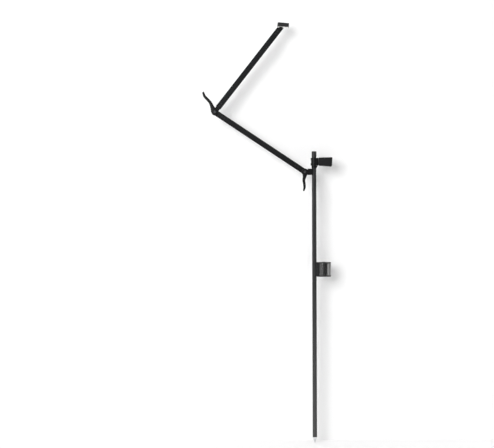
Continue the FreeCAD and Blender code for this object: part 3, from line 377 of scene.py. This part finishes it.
# Nodes with their own shade of the satin black: the arms are flatter and darker than the rest,
# the pole is a little greyer, and its lower tube has painted light from below, paler towards the foot.
ARM_SATIN = satin("satin_arm", (0.0050, 0.0052, 0.0058), 0.12)
POLE_BLACK = (0.017, 0.0173, 0.0182)
NODE_MATERIALS = {
    "lower_arm_tube": ARM_SATIN,
    "upper_arm_tube": ARM_SATIN,
    "pole_upper_tube": satin("satin_pole", POLE_BLACK, 0.26),
    # Painted light: this tube is paler towards the foot, as if lit from below.
    "pole_lower_tube": satin("satin_pole_foot", POLE_BLACK, 0.26, (0.058, 0.56)),
}


def dress_frame():
    """Give every CAD node its own material, or else the one of its slot."""
    for part in frame["record"]["subparts"]:
        target = NODES[part["node"]]
        target.data.materials.clear()
        slot_material = MATERIALS[part["material_slot"]]
        target.data.materials.append(NODE_MATERIALS.get(part["node"], slot_material))


# ---- mesh helpers --------------------------------------------------------------
def shade_smooth(mesh):
    for face in mesh.polygons:
        face.use_smooth = True


def add_object(name, mesh_builder, material):
    """Turn a finished mesh builder into an object of the scene."""
    mesh = bpy.data.meshes.new(name)
    mesh_builder.to_mesh(mesh)
    mesh_builder.free()
    shade_smooth(mesh)
    piece = bpy.data.objects.new(name, mesh)
    bpy.context.scene.collection.objects.link(piece)
    mesh.materials.append(material)
    return piece


def apply_modifiers(piece):
    """Bake a piece's modifiers into its mesh."""
    graph = bpy.context.evaluated_depsgraph_get()
    mesh = bpy.data.meshes.new_from_object(piece.evaluated_get(graph))
    piece.modifiers.clear()
    piece.data = mesh
    shade_smooth(mesh)


def loft(builder, rings):
    """Skin a list of closed rings of points, in order, and close both ends."""
    loops = [[builder.verts.new(point) for point in ring] for ring in rings]
    count = len(loops[0])
    for near, far in zip(loops, loops[1:]):
        for k in range(count):
            n = (k + 1) % count
            builder.faces.new((near[k], near[n], far[n], far[k]))
    builder.faces.new(loops[0][::-1])
    builder.faces.new(loops[-1])


def in_metres(profile):
    return [(r * MM, h * MM) for r, h in profile]


def lathe(builder, profile, place, sides=72):
    """Turn a closed profile of (radius, height) round the local Z of a placement matrix."""
    rings = []
    for k in range(sides):
        turn = Matrix.Rotation(2.0 * math.pi * k / sides, 4, "Z")
        rings.append([builder.verts.new(place @ turn @ Vector((r, 0.0, h))) for r, h in profile])
    count = len(profile)
    for k in range(sides):
        near, far = rings[k], rings[(k + 1) % sides]
        for j in range(count):
            n = (j + 1) % count
            builder.faces.new((near[j], near[n], far[n], far[j]))


def spline(stations, t):
    """Smooth value between stations of (place, value), and constant past both ends."""
    if t <= stations[0][0]:
        return stations[0][1]
    if t >= stations[-1][0]:
        return stations[-1][1]
    for k in range(len(stations) - 1):
        if t <= stations[k + 1][0]:
            break
    before = stations[max(k - 1, 0)]
    start, end = stations[k], stations[k + 1]
    after = stations[min(k + 2, len(stations) - 1)]
    span = end[0] - start[0]
    u = (t - start[0]) / span
    m0 = (end[1] - before[1]) / (end[0] - before[0]) * span
    m1 = (after[1] - start[1]) / (after[0] - start[0]) * span
    return ((2 * u ** 3 - 3 * u ** 2 + 1) * start[1] + (u ** 3 - 2 * u ** 2 + u) * m0
            + (3 * u ** 2 - 2 * u ** 3) * end[1] + (u ** 3 - u ** 2) * m1)


# ---- levers --------------------------------------------------------------------
def lever_place(joint_name, angle_deg, y):
    """Local +X towards the lever's tip, local +Z to its left, local +Y to the back."""
    pivot = JOINTS[joint_name]["pos_m"]
    turn = Matrix.Rotation(-math.radians(angle_deg), 4, "Y")
    return Matrix.Translation((pivot[0], y, pivot[2])) @ turn


def signed_power(value):
    """A sine or cosine pushed outwards, so that a round section gets squarer."""
    return math.copysign(abs(value) ** BLADE_SQUARENESS, value)


def lever_rings(length, stations, place):
    """Oval sections along the blade, from the boss to the rounded tip."""
    sways = [(t, sway) for t, sway, half in stations] + [(1.0, 0.0)]
    halves = [(t, half) for t, sway, half in stations]
    rings = []
    for k in range(BLADE_STEPS + 1):
        t = k / BLADE_STEPS
        end = min(1.0, (1.0 - t) * length / TIP_ROUNDING)
        close = math.sqrt(max(1.0 - (1.0 - end) ** 2, 0.0))
        half_w = max(spline(halves, t) * close, TIP_HALF)
        half_t = max((BLADE_HALF_T - BLADE_THINNING * t) * close, TIP_HALF)
        sway = spline(sways, t)
        section = []
        for j in range(BLADE_SIDES):
            a = 2.0 * math.pi * j / BLADE_SIDES
            across = signed_power(math.cos(a)) * half_w
            deep = signed_power(math.sin(a)) * half_t
            section.append(place @ Vector((t * length * MM, deep * MM, (sway + across) * MM)))
        rings.append(section)
    return rings


def boss_profile(thick):
    """Radius and height in mm round the bolt: eased foot, domed shoulder, shallow seat."""
    r, bore, top = LEVER_BOSS_R, LEVER_BORE_R, BOLT_SEAT_R
    foot = [(bore, 0.0), (r - 0.4, 0.0), (r, 0.5)]
    dome = [(r, thick - 2.2), (r - 0.6, thick - 0.9), (r - 2.2, thick - 0.1)]
    seat = [(top, thick), (top - 0.4, thick - BOLT_SEAT_DEPTH), (bore, thick - BOLT_SEAT_DEPTH)]
    return foot + dome + seat


def blend(piece):
    """Melt the crossing meshes of a moulding into one skin."""
    remesh = piece.modifiers.new("skin", "REMESH")
    remesh.mode = "VOXEL"
    remesh.voxel_size = SKIN_VOXEL * MM
    smooth = piece.modifiers.new("blend", "SMOOTH")
    smooth.factor = 0.5
    smooth.iterations = SKIN_SMOOTHINGS
    apply_modifiers(piece)


def lever(node):
    """Moulded S-lever: a domed boss blended into a blade of oval section."""
    joint_name, length, angle, stations = LEVERS[node]
    low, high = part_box(node)
    blade_mid = low.y + BLADE_HALF_T * MM
    builder = bmesh.new()
    loft(builder, lever_rings(length, stations, lever_place(joint_name, angle, blade_mid)))
    boss = lever_place(joint_name, angle, high.y) @ Matrix.Rotation(math.radians(90), 4, "X")
    lathe(builder, in_metres(boss_profile((high.y - low.y) / MM)), boss)
    bmesh.ops.recalc_face_normals(builder, faces=builder.faces)
    piece = add_object(node + "_moulding", builder, MATERIALS["cast_black"])
    blend(piece)
    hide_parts(node)
    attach(piece, node)


# ---- small rings and emitters --------------------------------------------------
def ring(name, slot, low, high, inner, outer, r):
    """Ring about the canister's upright axis with edges rounded by r, carried by the pole."""
    profile = [(inner, low), (outer - r, low), (outer, low + r), (outer, high - r), (outer - r, high),
               (inner + r, high), (inner, high - r)]
    builder = bmesh.new()
    place = Matrix.Translation((CANISTER_AXIS[0] * MM, CANISTER_AXIS[1] * MM, 0.0))
    lathe(builder, in_metres(profile), place, sides=128)
    bmesh.ops.recalc_face_normals(builder, faces=builder.faces)
    piece = add_object(name, builder, MATERIALS[slot])
    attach(piece, "pole")


def canister_trim():
    """Rubber seals at both cap joints, and a turned bezel round the power button."""
    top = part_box("canister_top_cap")[1].z / MM
    shell_low, shell_high = [corner.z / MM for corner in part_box("canister_shell")]
    for name, z in (("canister_upper_seal", shell_high), ("canister_lower_seal", shell_low)):
        ring(name, "black_plastic", z - SEAL_HALF_HEIGHT, z + SEAL_HALF_HEIGHT,
             CANISTER_R - SEAL_DEPTH, CANISTER_R + SEAL_PROUD, SEAL_ROUNDING)
    ring("button_bezel", "dark_steel", top - BEZEL_SUNK, top + BEZEL_PROUD,
         BUTTON_BORE + BEZEL_GAP, BUTTON_BORE + BEZEL_WIDTH, BEZEL_ROUNDING)


def emitter_domes():
    """Clear domes over phosphor, one on each emitter of the flood's board."""
    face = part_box("flood_led_board")[1].x
    builder = bmesh.new()
    arc = [math.radians(90.0 * k / DOME_STEPS) for k in range(DOME_STEPS + 1)]
    profile = [(max(DOME_R * math.cos(a), DOME_CORE_R), DOME_LIFT + DOME_HEIGHT * math.sin(a))
               for a in arc]
    profile.append((DOME_CORE_R, DOME_LIFT))
    forward = Matrix.Rotation(math.radians(90), 4, "Y")
    for z in EMITTER_ROWS:
        for k in range(EMITTER_COLUMNS):
            y = EMITTER_PITCH * (k - (EMITTER_COLUMNS - 1) / 2)
            centre = Vector((face, y * MM, z * MM))
            lathe(builder, in_metres(profile), Matrix.Translation(centre) @ forward, sides=32)
    bmesh.ops.recalc_face_normals(builder, faces=builder.faces)
    piece = add_object("flood_emitter_domes", builder, phosphor())
    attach(piece, "flood_head")


# ---- camera, lights and stage --------------------------------------------------
def stage_material(name, shade):
    """Pale seamless paper, see-through from behind so that it never hides the object."""
    tree = Tree(name)
    fibre = tree.remap(tree.noise(600.0, detail=4.0), 0.0, 1.0)
    tree.set(Base_Color=tree.mix(fibre, rgba(shade - 0.01), rgba(shade + 0.01)))
    tree.set(Roughness=0.9, Specular_IOR_Level=0.0)
    clear = tree.add("BsdfTransparent").outputs[0]
    behind = tree.add("NewGeometry").outputs["Backfacing"]
    either = tree.add("MixShader")
    tree.feed(either.inputs[0], behind)
    tree.feed(either.inputs[1], tree.shader.outputs[0])
    tree.feed(either.inputs[2], clear)
    tree.feed(tree.nodes["Material Output"].inputs["Surface"], either.outputs[0])
    return tree.material


def sheet(name, corners, material):
    """Flat stage sheet through four corners."""
    builder = bmesh.new()
    builder.faces.new([builder.verts.new(corner) for corner in corners])
    piece = add_object(name, builder, material)


def make_stage():
    """A wall close behind the object and a floor under it, both centred on the view."""
    low = CAD_BOX[0][2]
    high = low + BACKDROP_SIZE[1]
    y = BACKDROP_GAP
    left = VIEW_CENTRE.x - BACKDROP_SIZE[0] / 2
    right = VIEW_CENTRE.x + BACKDROP_SIZE[0] / 2
    sheet("backdrop", [(left, y, low), (right, y, low), (right, y, high), (left, y, high)],
          stage_material("pale_wall_paper", BACKDROP_SHADE))
    half = FLOOR_SIZE / 2
    left = VIEW_CENTRE.x - half
    right = VIEW_CENTRE.x + half
    sheet("floor", [(left, -half, low), (right, -half, low), (right, half, low), (left, half, low)],
          stage_material("pale_floor_paper", FLOOR_SHADE))


def area_light(name, place, width, watts):
    """Round soft light aimed at the middle of the view."""
    data = bpy.data.lights.new(name, "AREA")
    data.shape = "DISK"
    data.size = width
    data.energy = watts
    light = bpy.data.objects.new(name, data)
    light.location = place
    light.rotation_euler = (VIEW_CENTRE - Vector(place)).to_track_quat("-Z", "Y").to_euler()
    bpy.context.scene.collection.objects.link(light)


def make_lights():
    """The four soft lights and an even white world."""
    for name, (place, width, watts) in LIGHTS.items():
        area_light(name, place, width, watts)
    world = bpy.data.worlds.new("studio")
    world.use_nodes = True
    background = world.node_tree.nodes["Background"]
    background.inputs["Color"].default_value = rgba(1.0)
    background.inputs["Strength"].default_value = WORLD_STRENGTH
    bpy.context.scene.world = world
    bpy.context.scene.view_settings.view_transform = "Standard"


def make_camera():
    """Camera square on to the arm's plane, with a trace of roll."""
    data = bpy.data.cameras.new("camera")
    data.sensor_width = SENSOR_WIDTH
    data.lens = SENSOR_WIDTH * VIEW_DISTANCE / VIEW_WIDTH
    data.clip_end = 50.0
    camera = bpy.data.objects.new("camera", data)
    camera.location = VIEW_CENTRE - Vector((0.0, VIEW_DISTANCE, 0.0))
    level = Matrix.Rotation(math.radians(90.0), 3, "X")
    camera.rotation_euler = (Matrix.Rotation(math.radians(VIEW_ROLL_DEG), 3, "Y") @ level).to_euler()
    bpy.context.scene.collection.objects.link(camera)
    bpy.context.scene.camera = camera


make_camera()
make_lights()
make_stage()
dress_frame()
for lever_node in LEVERS:
    lever(lever_node)
canister_trim()
emitter_domes()
